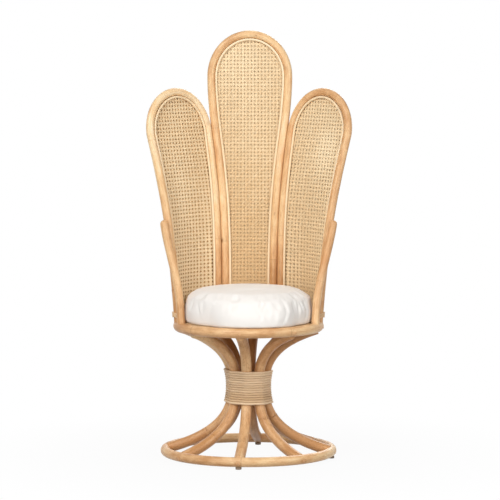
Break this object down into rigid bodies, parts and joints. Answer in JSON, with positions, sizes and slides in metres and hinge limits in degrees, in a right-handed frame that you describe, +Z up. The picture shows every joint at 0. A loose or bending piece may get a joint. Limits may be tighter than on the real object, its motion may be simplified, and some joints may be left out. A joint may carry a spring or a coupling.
{
  "type": "rattan peacock chair",
  "caption": "Tall rattan chair: arched cane-webbed petals as back, loose round cushion on a ring seat, bent legs gathered by a wound waist over a floor ring.",
  "frame": {"origin": "on the floor under the middle of the chair's outline", "axes": "+Z up, -Y the way the sitter looks, +X to the right of someone who stands in front of the chair"},
  "size_m": [0.6964, 0.6662, 1.4254],
  "materials": {
    "rattan_pole": "clear satin lacquer over peeled rattan",
    "cane_webbing": "natural cane",
    "bead_core": "pale round core",
    "binding_core": "round core, lightly lacquered",
    "peg_wood": "plain wood",
    "seat_plywood": "plain plywood",
    "cushion_fabric": "off-white woven cotton",
    "glide_plastic": "plain"
  },
  "bodies": {
    "frame": {"base_peg_1": "peg_wood", "base_peg_2": "peg_wood", "base_peg_3": "peg_wood", "base_peg_4": "peg_wood", "base_peg_5": "peg_wood", "base_peg_6": "peg_wood", "base_peg_7": "peg_wood", "base_peg_8": "peg_wood", "base_ring": "rattan_pole", "centre_petal_back_bead": "bead_core", "centre_petal_cane": "cane_webbing", "centre_petal_frame": "rattan_pole", "centre_petal_front_bead": "bead_core", "centre_petal_left_foot_peg": "peg_wood", "centre_petal_right_foot_peg": "peg_wood", "glide_1": "glide_plastic", "glide_2": "glide_plastic", "glide_3": "glide_plastic", "glide_4": "glide_plastic", "left_arm": "rattan_pole", "left_arm_foot_peg": "peg_wood", "left_foot_binding": "binding_core", "left_petal_back_bead": "bead_core", "left_petal_cane": "cane_webbing", "left_petal_frame": "rattan_pole", "left_petal_front_bead": "bead_core", "left_petal_inner_foot_peg": "peg_wood", "leg_1": "rattan_pole", "leg_2": "rattan_pole", "leg_3": "rattan_pole", "leg_4": "rattan_pole", "leg_5": "rattan_pole", "leg_6": "rattan_pole", "leg_7": "rattan_pole", "leg_8": "rattan_pole", "right_arm": "rattan_pole", "right_arm_foot_peg": "peg_wood", "right_foot_binding": "binding_core", "right_petal_back_bead": "bead_core", "right_petal_cane": "cane_webbing", "right_petal_frame": "rattan_pole", "right_petal_front_bead": "bead_core", "right_petal_inner_foot_peg": "peg_wood", "seat_board": "seat_plywood", "seat_peg_1": "peg_wood", "seat_peg_2": "peg_wood", "seat_peg_3": "peg_wood", "seat_peg_4": "peg_wood", "seat_peg_5": "peg_wood", "seat_peg_6": "peg_wood", "seat_peg_7": "peg_wood", "seat_peg_8": "peg_wood", "seat_ring": "rattan_pole", "waist_binding": "binding_core", "waist_core": "peg_wood"},
    "cushion": {"seat_cushion": "cushion_fabric"}
  },
  "joints": [
    {"name": "cushion_lift", "type": "slide", "parent": "frame", "child": "cushion", "axis": [0, 0, 1], "range_m": [0, 0.25]}
  ]
}
